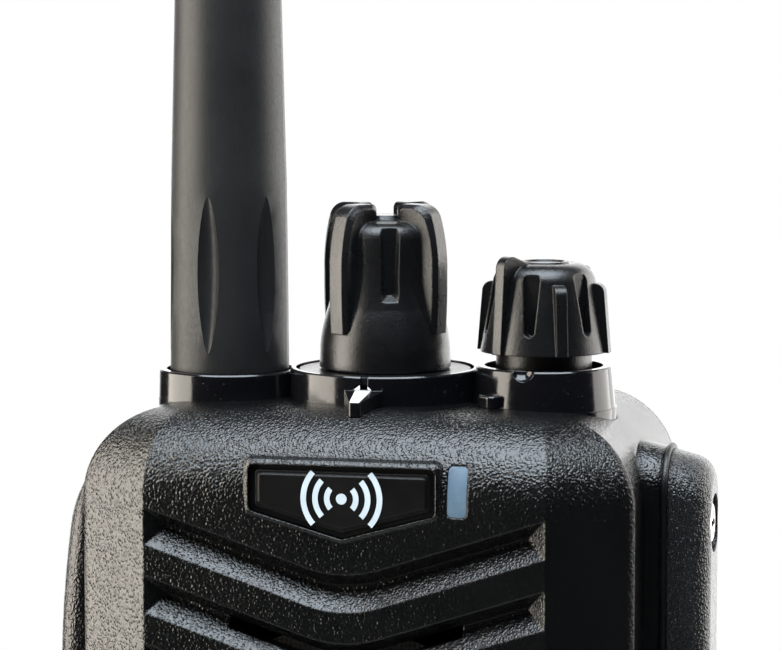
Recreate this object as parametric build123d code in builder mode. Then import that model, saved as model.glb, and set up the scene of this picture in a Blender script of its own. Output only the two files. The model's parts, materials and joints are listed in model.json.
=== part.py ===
"""Portable two-way radio: housing, controls, antenna, battery pack and belt clip.

The frame: +X is the viewer's right when facing the speaker, +Y runs from the speaker towards the belt clip,
+Z is up. The origin is on the flat base, under the axis of the channel knob. Units are millimetres.
"""

from build123d import *
from math import cos, radians, sin, sqrt
import os

# ---------------------------------------------------------------- driving dimensions
# housing
HALF_WIDTH = 26.0  # side wall of the housing from the middle plane
FRONT_Y = -17.6  # flat speaker face
FLAT_HALF = 18.75  # half width of the flat speaker face
BEVEL_Y = -12.8  # where the long bevel reaches the side wall
STEP_Y = 3.0  # back edge of the housing beside the battery
UPPER_BACK_Y = 14.0  # back edge of the housing above the battery
CHASSIS_BACK_Y = 16.8  # back of the chassis above the battery
CHASSIS_ROUND = 2.6
BACK_Y = 18.4  # back of the battery pack
STEP_Z = 98.0  # height of the step that the battery sits under
SHELF = 2.0  # thickness of the chassis shelf over the battery
TOP_Z = 116.25  # apex of the crowned top
CROWN_R = 420.0  # radius of the crowned top across the width
TOP_ROUND = 8.0  # rounding of all the edges of the top
WALL = 2.0
FRONT_WALL = 2.8
CEILING_Z = 113.3  # underside of the housing's top wall
FLOOR_Z = 3.6  # upper side of the housing's bottom wall
PLATE_Y = 5.6  # back of the chassis plate beside the battery
FIT = 0.05  # clearance between pieces that are fixed to each other
GAP = 0.3  # clearance round a piece that moves

# speaker grille and front window
GROOVES = 8
GROOVE_PITCH = 6.35
GROOVE_TOP = 107.5  # upper edge of the first groove, at its ends
GROOVE_HALF = 18.65
GROOVE_SLOPE = 0.33
GROOVE_HEIGHT = 3.5
GROOVE_DEPTH = 1.7
GROOVE_BEND = 11.0  # radius in the middle of each groove
VALLEY_DROP = 1.9  # valley below the upper edge
SLOT_HEIGHT = 1.1
SPEAKER_Z = 77.8
SPEAKER_R = 18.8
EMBLEM_HALF = 9.05
EMBLEM_TOP, EMBLEM_SIDE, EMBLEM_TIP = 112.2, 107.3, 104.8
EMBLEM_DEPTH = 0.8  # of the badge's pocket below the speaker face
BEZEL_PROUD = 0.2
LED_X, LED_Z = 10.62, 109.8
LED_SIZE = (1.85, 4.6)
MIC_Z = 46.0

# controls on top
RIM_Z = 119.0  # rim of the middle collar, the datum for everything on top
INDEX_TOP, INDEX_FALL = RIM_Z - 1.2, 0.19  # top of the index wedge at the collar, and its fall per length
INDEX_TIP_Y = -12.7
SPACING = 15.35  # from the channel knob to the antenna and to the volume knob
PLATE_BOTTOM = 114.35  # underside of the collar plate
PLATE_FLOOR = 115.7  # floor inside the collars
COLLARS = ((-SPACING, 6.95), (0, 9.15), (SPACING, 6.9))  # X and foot radius of each collar
NUB_SPOT, NUB_TURN = (11.25, -5.75), -36.0  # nub between the middle and the right collar
SOCKET_R = 4.4
RIMS = ((6.85, RIM_Z - 0.5, 6.1), (9.05, RIM_Z, 8.5), (6.4, RIM_Z + 0.55, 5.6))  # radius, height, bore
PLUG_R = 2.9
ANTENNA_Z = RIM_Z - 0.8  # foot of the antenna sleeve, inside its collar
ANTENNA_TIP = RIM_Z + 150.0
ANTENNA_BORE = 2.6
COIL_TOP = RIM_Z + 60.0
FLUTE_Z = RIM_Z + 9.15
FLUTE_R, FLUTE_AXIS, FLUTE_HALF = 1.2, 6.0, 8.9  # spindle that cuts each flute
KNOB_Z = RIM_Z - 0.1  # foot of the channel knob
SHAFT_TOP = RIM_Z + 12.0
WING_THICK, WING_EDGE = 2.4, 0.4
VOLUME_Z = RIM_Z + 0.05  # foot of the volume knob's neck
NECK_R = 4.54
CAP_Z = RIM_Z + 1.9
RIB_THICK = 1.1
CAP_TOP_R = 4.75
VOLUME_TOP = RIM_Z + 8.0
KNOB_TURN = 18.4  # the channel knob stands turned this far towards +X
WING_ANGLE = 51.0
POINTER_TURN = -34.0  # the pointer rib of the volume knob
SCALLOP_TURN = -5.6  # one of the antenna's six thumb flutes
BUSHING_R = 3.4
SHAFT_R = 2.0

# side of the accessory connector
BOSS_X = 27.5
COVER_X = 28.15
COVER_FACE_X = 31.95
COVER_FRONT_Y = -6.95
COVER_BACK_Y = 2.0
COVER_TOP_Z = 112.45  # at the joint between boss and cover
COVER_SLOPE = 0.27  # fall of both tops towards +X
COVER_ROUND = 4.0
COVER_EDGE = 2.3  # rounding around the cover's face
COVER_MID_Y = (COVER_FRONT_Y + COVER_BACK_Y) / 2
SCREW_Z = 105.5
HINGE_X = 28.9
HINGE_Z = 76.0
PIN_R = 0.5
LUG_YS, LUG_WIDTH = (-5.95, 1.0), 1.2
JACK_R, INSERT_R = 3.0, 2.4
JACKS = ((96.0, 1.78), (85.0, 1.28))  # height and bore radius of each jack
COVER_SCREW_R = 1.15

# side keys
CHEEK_X = -29.1
CHEEK_FRONT_Y, CHEEK_BACK_Y = -12.3, 2.9
CHEEK_ROUND = 2.0
KEY_Y = -4.6  # middle of the push-to-talk button and of both keys
PTT_Z, PTT_HEIGHT = 76.0, 29.0
KEY_ZS, KEY_HEIGHT = (54.4, 45.6), 6.4
KEY_WIDTH = 8.4
PLUNGER = (4.0, 4.4)  # width along Y and height of the stem behind each key

# battery and clip
PACK_TOP = STEP_Z - SHELF - 0.3
PACK_FRONT_Y = PLATE_Y + 0.3
PACK_SPLIT_Y = 11.5
PACK_HALF = 25.8
PACK_WALL = 1.4
CLIP_PIN_Y = 23.0
CLIP_PIN_Z = 80.0
CLIP_HALF = 9.0
EAR_XS = (-5.2, 5.2)  # ears of the bracket that hold the clip's pin
LATCH_HALF = 9.0
LATCH_FRONT_Y = -10.3
LATCH_LIP_Z = 0.9
SCREW_R, BOSS_R = 1.0, 2.2
BOARD_Y, BOARD = 0.8, 1.2  # front of the circuit board, and its thickness
BOARD_SCREW_R = 0.8
BLOCK = (16.0, 7.0)  # contact block of the chassis
CHIPS = ((-12, 60, 9, 9, 1.0), (5, 58, 7, 7, 0.9), (13, 52, 4, 5, 0.8), (-2, 11, 12, 6, 1.6))  # x, z, w, h, t
PACK_INSIDE = (4.6, PACK_TOP - 1.4)  # floor and ceiling inside the pack
TOOTH_Y, TOOTH, TOOTH_Z = 6.9, 1.6, 3.2  # hooks of the battery latch
TOOTH_XS, TOOTH_WIDTH = (-4.0, 3.4), 3.0
TONGUE_HALF, TONGUE_Z = 6.0, 2.05
LATCH_TRAVEL = 3.7  # along +X
CELL_Y, CELL = 7.6, 9.0
PACK_BOARD_Y = 8.6
CHARGE_X, CHARGE_Z, CHARGE_R = 9.0, 11.0, 2.4
CLIP_SCREW_ZS = (CLIP_PIN_Z - 7.5, CLIP_PIN_Z + 7.5)
CLIP_PIN_R = 0.8
SPRING_R, SPRING_HALF = 1.35, 3.6  # coil of the clip's torsion spring
CLIP_FACE_Y = 25.4  # inner side of the clip's face
SCREW_SPOTS = ((-20, 10), (20, 10), (-20, 90.5), (20, 90.5))  # X and Z
BOARD_SPOTS = ((-18.5, 22), (18.5, 22), (-18.5, 68), (18.5, 68))
PACK_CONTACTS = (-5.0, 0.0, 5.0)
CONTACT_Z = 86.0

os.makedirs("parts", exist_ok=True)


def save(builder, name):
    """Labels a finished piece and writes it as one STEP file."""
    builder.part.label = name
    export_step(builder.part, f"parts/{name}.step")


def plane_x(x):
    """Plane across X whose own axes are the world's Y and Z."""
    return Plane(origin=(x, 0, 0), x_dir=(0, 1, 0), z_dir=(1, 0, 0))


def plane_y(y):
    """Plane across Y whose own axes are the world's X and Z, facing the front."""
    return Plane.XZ.offset(-y)


def plan_points(back_y, inset=0.0):
    """Outline of the housing from above, optionally set in from all its sides."""
    side = HALF_WIDTH - inset
    return [
        (-side, back_y),
        (-side, BEVEL_Y + inset * 0.4),
        (-FLAT_HALF + inset * 0.4, FRONT_Y + inset),
        (FLAT_HALF - inset * 0.4, FRONT_Y + inset),
        (side, BEVEL_Y + inset * 0.4),
        (side, back_y),
    ]


def crown_z(x):
    """Height of the crowned top at a distance from the middle plane."""
    return TOP_Z - x * x / (2 * CROWN_R)


def silhouette_lines(bottom_z):
    """Lines of the body from the front: straight sides and a crowned top."""
    edge_z = crown_z(HALF_WIDTH)
    Polyline((-HALF_WIDTH, edge_z), (-HALF_WIDTH, bottom_z), (HALF_WIDTH, bottom_z), (HALF_WIDTH, edge_z))
    ThreePointArc((-HALF_WIDTH, edge_z), (0, TOP_Z), (HALF_WIDTH, edge_z))


def chevron(y, half, end_z, height):
    """Shallow V band with a rounded middle, from its depth, its half width, its upper edge and its height."""
    drop = GROOVE_SLOPE * half
    with BuildSketch(plane_y(y)) as band:
        Polygon(
            (-half, end_z),
            (0, end_z - drop),
            (half, end_z),
            (half, end_z - height),
            (0, end_z - drop - height),
            (-half, end_z - height),
            align=None,
        )
        fillet(band.vertices().filter_by(lambda v: abs(v.X) < 0.01), radius=GROOVE_BEND)
    return band.sketch


def emblem_lines(inset=0.0):
    """Lines of the badge: straight top and sides, and a shallow V below."""
    half = EMBLEM_HALF - inset
    slope = (EMBLEM_SIDE - EMBLEM_TIP) / EMBLEM_HALF
    lift = inset * sqrt(1 + slope * slope)
    FilletPolyline(
        (half, EMBLEM_TOP - inset),
        (half, EMBLEM_TIP + slope * half + lift),
        (0, EMBLEM_TIP + lift),
        (-half, EMBLEM_TIP + slope * half + lift),
        (-half, EMBLEM_TOP - inset),
        radius=0.7 - 0.3 * inset,
        close=True,
    )


def cover_lines(bottom_z, inset=0.0, x=BOSS_X):
    """Lines of the accessory cover from the side, at X: a tall panel with two large top corners."""
    low, high = COVER_FRONT_Y + inset, COVER_BACK_Y - inset
    top, r = COVER_TOP_Z - COVER_SLOPE * (x - BOSS_X) - inset, COVER_ROUND - inset
    Polyline((low, top - r), (low, bottom_z), (high, bottom_z), (high, top - r))
    RadiusArc((low, top - r), (low + r, top), r)
    Line((low + r, top), (high - r, top))
    RadiusArc((high - r, top), (high, top - r), r)


def facing(angle, distance, x=0.0):
    """Upright plane that looks outward at an angle from the front towards +X, at a distance from an axis."""
    a = radians(angle)
    return Plane(
        origin=(x + distance * sin(a), -distance * cos(a), 0),
        x_dir=(cos(a), sin(a), 0),
        z_dir=(sin(a), -cos(a), 0),
    )


def turned(angle, x=0.0):
    """Upright plane through a vertical axis; its own x axis points at an angle from the front towards +X."""
    a = radians(angle)
    return Plane(origin=(x, 0, 0), x_dir=(sin(a), -cos(a), 0), z_dir=(-cos(a), -sin(a), 0))


# ---------------------------------------------------------------- outer form shared by housing and chassis
def body_form(back_y, bottom_z):
    """Solid outer form: bevelled front, crowned top, and all top edges but the back one rounded."""
    with BuildPart() as form:
        with BuildSketch(Plane.XY):
            Polygon(*plan_points(back_y), align=None)
        extrude(amount=TOP_Z + 2)
        with BuildSketch(Plane.XZ):
            with BuildLine():
                silhouette_lines(bottom_z)
            make_face()
        extrude(amount=40, both=True, mode=Mode.INTERSECT)
        crown = form.faces().filter_by(GeomType.CYLINDER).sort_by(Axis.Z)[-1]
        fillet(crown.edges().filter_by(lambda e: e.center().Y < back_y - 0.1), radius=TOP_ROUND)
    return form.part


shell = body_form(UPPER_BACK_Y, 0)

# ---------------------------------------------------------------- front housing
with BuildPart() as front_housing:
    add(shell)
    # boss that carries the accessory jacks, with two lugs for the cover's hinge below it
    for x in (HALF_WIDTH - 1, BOSS_X):
        with BuildSketch(plane_x(x)):
            with BuildLine():
                cover_lines(HINGE_Z - 1, 0, x)
            make_face()
    loft(ruled=True)
    # raised bezel of the badge, with flanks that run out into the rounded top
    flanks = ((-BEZEL_PROUD, 0.27), (0.1, -0.1), (2.1, -0.35))
    for (y0, inset0), (y1, inset1) in zip(flanks, flanks[1:]):
        for y, inset in ((y0, inset0), (y1, inset1)):
            with BuildSketch(plane_y(FRONT_Y + y)):
                with BuildLine():
                    emblem_lines(inset)
                make_face()
        loft(ruled=True)
    for y in LUG_YS:
        with BuildSketch(plane_y(y - LUG_WIDTH / 2)):
            with Locations((HINGE_X, HINGE_Z)):
                Circle(1.0)
            with Locations((HINGE_X - 1.1, HINGE_Z)):
                Rectangle(2.2, 2.0)
        extrude(amount=-LUG_WIDTH)
        with BuildSketch(plane_y(y - LUG_WIDTH)):
            with Locations((HINGE_X, HINGE_Z)):
                Circle(PIN_R)
        extrude(amount=-2 * LUG_WIDTH, mode=Mode.SUBTRACT)
    # cut for the battery, then the hollow inside
    with BuildSketch(plane_y(STEP_Y)):
        with Locations((0, STEP_Z / 2)):
            Rectangle(4 * HALF_WIDTH, STEP_Z)
    extrude(amount=-40, mode=Mode.SUBTRACT)

with BuildPart() as hollow:
    with BuildSketch(Plane.XY.offset(FLOOR_Z)):
        Polygon(*plan_points(UPPER_BACK_Y + 1, WALL), align=None)
        with Locations((0, FRONT_Y)):
            Rectangle(60, 2 * FRONT_WALL, mode=Mode.SUBTRACT)
    extrude(amount=CEILING_Z - FLOOR_Z)
    ceiling = hollow.faces().sort_by(Axis.Z)[-1].edges()
    fillet(ceiling.filter_by(lambda e: e.center().Y < UPPER_BACK_Y), radius=3)

with BuildPart() as grooves:
    for i in range(GROOVES):
        end_z = GROOVE_TOP - i * GROOVE_PITCH
        mouth = chevron(FRONT_Y - 0.01, GROOVE_HALF, end_z, GROOVE_HEIGHT)
        valley = chevron(FRONT_Y + GROOVE_DEPTH, GROOVE_HALF - 1.6, end_z - VALLEY_DROP + 0.2, 0.4)
        loft([mouth, valley], ruled=True)

with BuildPart() as slots:
    for i in range(GROOVES):
        valley = GROOVE_TOP - i * GROOVE_PITCH - VALLEY_DROP
        off_centre = abs(valley - GROOVE_SLOPE * GROOVE_HALF - SPEAKER_Z)
        if off_centre < SPEAKER_R:
            half = min(16.0, sqrt(SPEAKER_R**2 - off_centre**2))
            drop = GROOVE_SLOPE * (GROOVE_HALF - half)
            extrude(chevron(FRONT_Y + GROOVE_DEPTH - 0.8, half, valley - drop + 0.8, SLOT_HEIGHT), amount=-3)

with BuildPart() as front_cuts:
    # badge and light window
    with BuildSketch(plane_y(FRONT_Y - 1)):
        with BuildLine():
            emblem_lines(0.36)
        make_face()
    extrude(amount=-1 - EMBLEM_DEPTH)
    with BuildSketch(plane_y(FRONT_Y - 1)):
        with Locations((LED_X, LED_Z)):
            RectangleRounded(*LED_SIZE, 0.45)
    extrude(amount=-5)
    with BuildSketch(plane_y(FRONT_Y - 1)):
        with Locations((0, MIC_Z)):
            Circle(0.6)
    extrude(amount=-5)
    # pocket of the collar plate and the three holes under it
    with BuildSketch(Plane.XY.offset(PLATE_BOTTOM)):
        for x, r in COLLARS:
            with Locations((x, 0)):
                Circle(r + FIT)
    extrude(amount=4)
    for x, r in ((-SPACING, SOCKET_R), (0, BUSHING_R), (SPACING, BUSHING_R)):
        with BuildSketch(Plane.XY.offset(CEILING_Z - 1)):
            with Locations((x, 0)):
                Circle(r + FIT)
        extrude(amount=3)
    for x in (0, SPACING):
        with BuildSketch(Plane.XY.offset(PLATE_BOTTOM - 0.9)):
            with Locations((x, 0)):
                Circle(BUSHING_R + 1.3)
        extrude(amount=2)
    # stems of the side keys
    for z in (PTT_Z, *KEY_ZS):
        with BuildSketch(plane_x(-HALF_WIDTH - 1)):
            with Locations((KEY_Y, z)):
                Rectangle(PLUNGER[0] + 2 * GAP, PLUNGER[1] + 2 * GAP)
        extrude(amount=4)
    # accessory jacks and the thread insert of the cover's screw
    for z, r in JACKS:
        with BuildSketch(plane_x(HALF_WIDTH - 4)):
            with Locations((COVER_MID_Y, z)):
                Circle(JACK_R + FIT)
        extrude(amount=10)
    with BuildSketch(plane_x(HALF_WIDTH - 2.6)):
        with Locations((COVER_MID_Y, SCREW_Z)):
            Circle(INSERT_R + FIT)
    extrude(amount=10)
    # guide of the battery latch, open below and behind, with a lip along its front
    for z, height, front in ((0, LATCH_LIP_Z, LATCH_FRONT_Y + 1.7), (LATCH_LIP_Z, 1.5, LATCH_FRONT_Y)):
        with BuildSketch(Plane.XY.offset(z)):
            with Locations((LATCH_TRAVEL / 2, (front - GAP + STEP_Y) / 2)):
                Rectangle(2 * LATCH_HALF + LATCH_TRAVEL + 2 * GAP, STEP_Y - front + GAP + 0.1)
        extrude(amount=height)

with BuildPart() as bosses:
    for x, z in SCREW_SPOTS:
        with BuildSketch(plane_y(STEP_Y)):
            with Locations((x, z)):
                Circle(BOSS_R)
        extrude(amount=STEP_Y - FRONT_Y - FRONT_WALL + 0.5)

for tool in (hollow, grooves, slots, front_cuts):
    with front_housing:
        add(tool.part, mode=Mode.SUBTRACT)
with front_housing:
    add(bosses.part)
    for x, z in SCREW_SPOTS:
        with BuildSketch(plane_y(STEP_Y + 1)):
            with Locations((x, z)):
                Circle(SCREW_R + FIT)
        extrude(amount=9, mode=Mode.SUBTRACT)
save(front_housing, "front_housing")


# ---------------------------------------------------------------- chassis and what is fixed inside
with BuildPart() as rear_chassis:
    add(body_form(CHASSIS_BACK_Y, 0.3))
    with BuildSketch(Plane.XY):
        with Locations((0, STEP_Y + FIT - 30)):
            Rectangle(80, 60)
    extrude(amount=TOP_Z + 2, mode=Mode.SUBTRACT)
    back = rear_chassis.faces().sort_by(Axis.Y)[-1].edges()
    fillet(back.filter_by(lambda e: e.center().Z > STEP_Z), radius=CHASSIS_ROUND)
    # room for the head of the housing, and for the battery
    with BuildSketch(Plane.XY.offset(STEP_Z - FIT)):
        with Locations((0, UPPER_BACK_Y + FIT - 30)):
            Rectangle(80, 60)
    extrude(amount=40, mode=Mode.SUBTRACT)
    with BuildSketch(Plane.XY):
        with Locations((0, PLATE_Y + 30)):
            Rectangle(80, 60)
    extrude(amount=STEP_Z - SHELF, mode=Mode.SUBTRACT)
    # hollow of the head
    with BuildSketch(plane_y(STEP_Y)):
        with Locations((0, (STEP_Z + CEILING_Z) / 2)):
            RectangleRounded(2 * (HALF_WIDTH - WALL), CEILING_Z - STEP_Z - 1, 3)
    extrude(amount=-(CHASSIS_BACK_Y - STEP_Y - WALL), mode=Mode.SUBTRACT)
    # standoffs of the board
    for x, z in BOARD_SPOTS:
        with BuildSketch(plane_y(STEP_Y + 1)):
            with Locations((x, z)):
                Circle(2.2)
        extrude(amount=STEP_Y + 1 - BOARD_Y - BOARD - FIT)
    for x, z in SCREW_SPOTS:
        with BuildSketch(plane_y(PLATE_Y)):
            with Locations((x, z)):
                Circle(2.1)
        extrude(amount=1.5, mode=Mode.SUBTRACT)
        with BuildSketch(plane_y(PLATE_Y)):
            with Locations((x, z)):
                Circle(SCREW_R + 0.1)
        extrude(amount=5, mode=Mode.SUBTRACT)
    for x, z in BOARD_SPOTS:
        with BuildSketch(plane_y(PLATE_Y - 0.8)):
            with Locations((x, z)):
                Circle(BOARD_SCREW_R + FIT)
        extrude(amount=5, mode=Mode.SUBTRACT)
    with BuildSketch(plane_y(PLATE_Y + 1)):
        with Locations((0, CONTACT_Z)):
            Rectangle(*BLOCK)
        with Locations((LATCH_TRAVEL / 2, (LATCH_LIP_Z + TOOTH_Z + GAP) / 2)):
            Rectangle(2 * TONGUE_HALF + LATCH_TRAVEL + 2 * GAP, TOOTH_Z + GAP - LATCH_LIP_Z)
    extrude(amount=5, mode=Mode.SUBTRACT)
save(rear_chassis, "rear_chassis")

with BuildPart() as chassis_screws:
    for x, z in SCREW_SPOTS:
        with BuildSketch(plane_y(PLATE_Y - 0.1)):
            with Locations((x, z)):
                Circle(1.9)
                Rectangle(2.2, 0.45, mode=Mode.SUBTRACT)
        extrude(amount=0.5)
        with BuildSketch(plane_y(PLATE_Y - 0.6)):
            with Locations((x, z)):
                Circle(1.9)
        extrude(amount=0.8)
        with BuildSketch(plane_y(PLATE_Y - 1.4)):
            with Locations((x, z)):
                Circle(SCREW_R)
        extrude(amount=9)
save(chassis_screws, "chassis_screws")

with BuildPart() as housing_seal:
    with BuildSketch(plane_y(STEP_Y)):
        with Locations((0, (FLOOR_Z + STEP_Z) / 2 - 1.5)):
            RectangleRounded(2 * (HALF_WIDTH - WALL - 0.1), STEP_Z - FLOOR_Z - 4, 1.6)
            RectangleRounded(2 * (HALF_WIDTH - WALL - 0.95), STEP_Z - FLOOR_Z - 5.7, 0.8, mode=Mode.SUBTRACT)
    extrude(amount=0.85)
save(housing_seal, "housing_seal")

with BuildPart() as main_board:
    with BuildSketch(plane_y(BOARD_Y + BOARD)):
        with Locations((0, 53)):
            RectangleRounded(44, 96, 1.5)
        for x, z in SCREW_SPOTS:
            with Locations((x, z)):
                Circle(BOSS_R + 0.3, mode=Mode.SUBTRACT)
        for x, z in BOARD_SPOTS:
            with Locations((x, z)):
                Circle(BOARD_SCREW_R + FIT, mode=Mode.SUBTRACT)
    extrude(amount=BOARD)
    for x, z, w, h, t in CHIPS:
        with BuildSketch(plane_y(BOARD_Y)):
            with Locations((x, z)):
                Rectangle(w, h)
        extrude(amount=t)
save(main_board, "main_board")

with BuildPart() as board_screws:
    for x, z in BOARD_SPOTS:
        with BuildSketch(plane_y(BOARD_Y - FIT)):
            with Locations((x, z)):
                Circle(1.6)
        extrude(amount=0.9)
        with BuildSketch(plane_y(BOARD_Y - FIT)):
            with Locations((x, z)):
                Circle(BOARD_SCREW_R)
        extrude(amount=-3.2)
save(board_screws, "board_screws")

with BuildPart() as shield_can:
    with BuildSketch(plane_y(BOARD_Y - FIT)):
        with Locations((0, 32)):
            RectangleRounded(27, 22, 1)
    extrude(amount=2.4)
    with BuildSketch(plane_y(BOARD_Y - FIT)):
        with Locations((0, 32)):
            RectangleRounded(26.4, 21.4, 0.8)
    extrude(amount=2.1, mode=Mode.SUBTRACT)
save(shield_can, "shield_can")

INNER_Y = FRONT_Y + FRONT_WALL  # inner side of the speaker wall
with BuildPart() as speaker_cloth:
    with BuildSketch(plane_y(INNER_Y + FIT + 0.4)):
        with Locations((0, SPEAKER_Z)):
            Circle(SPEAKER_R)
    extrude(amount=0.4)
save(speaker_cloth, "speaker_cloth")

with BuildPart() as speaker:
    with BuildSketch(Plane.YZ):
        with BuildLine():
            y = INNER_Y + 0.5
            z = SPEAKER_Z
            Polyline(
                (y + 1.4, z), (y + 1.0, z + 5), (y + 0.3, z + 12),
                (y + 0.3, z + 15.5), (y, z + 16), (y, z + 18),
            )
            Polyline((y, z + 18), (y + 1.6, z + 18), (y + 3.0, z + 13), (y + 4.4, z + 11), (y + 4.4, z + 9))
            Polyline((y + 4.4, z + 9), (y + 7.6, z + 9), (y + 7.6, z), (y + 1.4, z))
        make_face()
    revolve(axis=Axis((0, 0, SPEAKER_Z), (0, 1, 0)))
save(speaker, "speaker")

with BuildPart() as microphone_boot:
    with BuildSketch(plane_y(INNER_Y + FIT + 4)):
        with Locations((0, MIC_Z)):
            Circle(3.8)
            Circle(3.0, mode=Mode.SUBTRACT)
    extrude(amount=4)
with BuildPart() as microphone:
    with BuildSketch(plane_y(INNER_Y + FIT + 3.9)):
        with Locations((0, MIC_Z)):
            Circle(3.0 - FIT)
    extrude(amount=2.7)
save(microphone_boot, "microphone_boot")
save(microphone, "microphone")

with BuildPart() as emblem_plate:
    with BuildSketch(plane_y(FRONT_Y + EMBLEM_DEPTH - FIT)):
        with BuildLine():
            emblem_lines(0.42)
        make_face()
    extrude(amount=0.35)
    for low, high, inset in ((0.5, 0.2, 0.85), (0.3, 0.05, 1.2)):
        with BuildSketch(plane_y(FRONT_Y + low)):
            with BuildLine():
                emblem_lines(inset)
            make_face()
        extrude(amount=low - high)
        front = emblem_plate.faces().filter_by(Axis.Y).sort_by(Axis.Y)[0]
        chamfer(front.outer_wire().edges(), length=0.1)
save(emblem_plate, "emblem_plate")

with BuildPart() as led_lens:
    with BuildSketch(plane_y(FRONT_Y + FRONT_WALL)):
        with Locations((LED_X, LED_Z)):
            RectangleRounded(LED_SIZE[0] - 2 * FIT, LED_SIZE[1] - 2 * FIT, 0.42)
    extrude(amount=FRONT_WALL + 1)
    add(shell.moved(Location((0, 0.06, 0))), mode=Mode.INTERSECT)
save(led_lens, "led_lens")

with BuildPart() as status_led:
    with BuildSketch(plane_y(INNER_Y + 1.4)):
        with Locations((LED_X, LED_Z)):
            Rectangle(1.6, 3.2)
    extrude(amount=1.2)
save(status_led, "status_led")

with BuildPart() as power_block:
    with BuildSketch(plane_y(PLATE_Y - 0.2)):
        with Locations((0, CONTACT_Z)):
            Rectangle(BLOCK[0] - 2 * FIT, BLOCK[1] - 2 * FIT)
        for x in PACK_CONTACTS:
            with Locations((x, CONTACT_Z)):
                Rectangle(1.7, 4.0, mode=Mode.SUBTRACT)
    extrude(amount=PLATE_Y - 0.2 - BOARD_Y - BOARD - FIT)
with BuildPart() as power_contacts:
    for x in PACK_CONTACTS:
        with BuildSketch(plane_x(x - 0.8)):
            with BuildLine():
                back = PACK_FRONT_Y - 0.15
                Polyline(
                    (2.2, CONTACT_Z - 1.9), (back - 1, CONTACT_Z - 1.9), (back, CONTACT_Z),
                    (back - 1, CONTACT_Z + 1.9),
                )
                Polyline((back - 1, CONTACT_Z + 1.9), (back - 1.3, CONTACT_Z + 1.6), (back - 0.4, CONTACT_Z))
                Polyline(
                    (back - 0.4, CONTACT_Z), (back - 1.3, CONTACT_Z - 1.6), (2.2, CONTACT_Z - 1.6),
                    (2.2, CONTACT_Z - 1.9),
                )
            make_face()
        extrude(amount=1.6)
save(power_block, "power_block")
save(power_contacts, "power_contacts")

# ---------------------------------------------------------------- collars on top
with BuildPart() as index_wedge:
    with BuildSketch(Plane.XY.offset(TOP_Z - 2)):
        Polygon((-1.9, -8.6), (-0.5, INDEX_TIP_Y), (0.5, INDEX_TIP_Y), (1.9, -8.6), align=None)
    extrude(amount=4)
    with BuildSketch(Plane.YZ):
        tip_z = INDEX_TOP - INDEX_FALL * 5.5
        Polygon((-14, tip_z), (-8.5, INDEX_TOP), (-8.5, RIM_Z), (-14, RIM_Z), align=None)
    extrude(amount=4, both=True, mode=Mode.SUBTRACT)
    fillet(index_wedge.edges().filter_by(Axis.Z).filter_by(lambda e: e.center().Y < -12), radius=0.35)
    add(shell.moved(Location((0, 0, FIT))), mode=Mode.SUBTRACT)
# small nub between the channel and volume collars
with BuildPart() as nub:
    with BuildSketch(Plane.XY.offset(TOP_Z - 2)):
        with Locations(Location(NUB_SPOT, NUB_TURN)):
            RectangleRounded(2.3, 1.7, 0.7)
    extrude(amount=3.0)
    fillet(nub.faces().sort_by(Axis.Z)[-1].edges(), radius=0.3)
    add(shell.moved(Location((0, 0, FIT))), mode=Mode.SUBTRACT)

with BuildPart() as collar_plate:
    with BuildSketch(Plane.XY.offset(PLATE_BOTTOM)):
        for x, r in COLLARS:
            with Locations((x, 0)):
                Circle(r)
    extrude(amount=PLATE_FLOOR - PLATE_BOTTOM)
    for (x, foot), (rim_r, rim_z, inner) in zip(COLLARS, RIMS):
        with BuildSketch(Plane(origin=(x, 0, 0), x_dir=(1, 0, 0), z_dir=(0, -1, 0))):
            with BuildLine():
                Polyline(
                    (0, PLATE_BOTTOM),
                    (foot, PLATE_BOTTOM),
                    (rim_r, rim_z - 0.15),
                    (rim_r - 0.15, rim_z),
                    (0, rim_z),
                    close=True,
                )
            make_face()
        revolve(axis=Axis((x, 0, 0), (0, 0, 1)))
    for x, (rim_r, rim_z, inner) in zip((-SPACING, 0, SPACING), RIMS):
        with BuildSketch(Plane.XY.offset(PLATE_FLOOR)):
            with Locations((x, 0)):
                Circle(inner)
        extrude(amount=8, mode=Mode.SUBTRACT)
    for x, r in ((-SPACING, SOCKET_R), (0, BUSHING_R), (SPACING, BUSHING_R)):
        with BuildSketch(Plane.XY.offset(PLATE_BOTTOM)):
            with Locations((x, 0)):
                Circle(r + FIT)
        extrude(amount=2, mode=Mode.SUBTRACT)
    # index wedge in front of the channel knob, and the notch above it
    add(index_wedge.part)
    add(nub.part)
    with BuildSketch(Plane.XY.offset(RIM_Z - 1.2)):
        with Locations((0.08, -8.8)):
            Rectangle(0.67, 1.6)
    extrude(amount=2, mode=Mode.SUBTRACT)
    # dimple in the rim of the volume collar
    with Locations((SPACING - 0.9, -7.0, RIMS[2][1] + 0.25)):
        Sphere(1.35, mode=Mode.SUBTRACT)
    for x, (rim_r, rim_z, inner) in zip((-SPACING, 0, SPACING), RIMS):
        with BuildSketch(Plane.XY.offset(PLATE_FLOOR)):
            with Locations((x, 0)):
                Circle(inner)
        extrude(amount=8, mode=Mode.SUBTRACT)
save(collar_plate, "collar_plate")


# ---------------------------------------------------------------- switches under the knobs
def disc(x, z, height, r, mode=Mode.ADD):
    """Upright cylinder on a vertical axis at X, from a height up, in the part being built."""
    with BuildSketch(Plane.XY.offset(z)) as circle:
        with Locations((x, 0)):
            Circle(r)
    extrude(circle.sketch, amount=height, mode=mode)


def hexagon_nut(x, flats, height):
    """Hexagon nut standing on the floor of a collar."""
    with BuildSketch(Plane.XY.offset(PLATE_FLOOR + FIT)) as outline:
        with Locations((x, 0)):
            RegularPolygon(flats / 2, 6, major_radius=False)
    extrude(outline.sketch, amount=height)
    disc(x, PLATE_FLOOR, 5, BUSHING_R + FIT, Mode.SUBTRACT)


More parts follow.
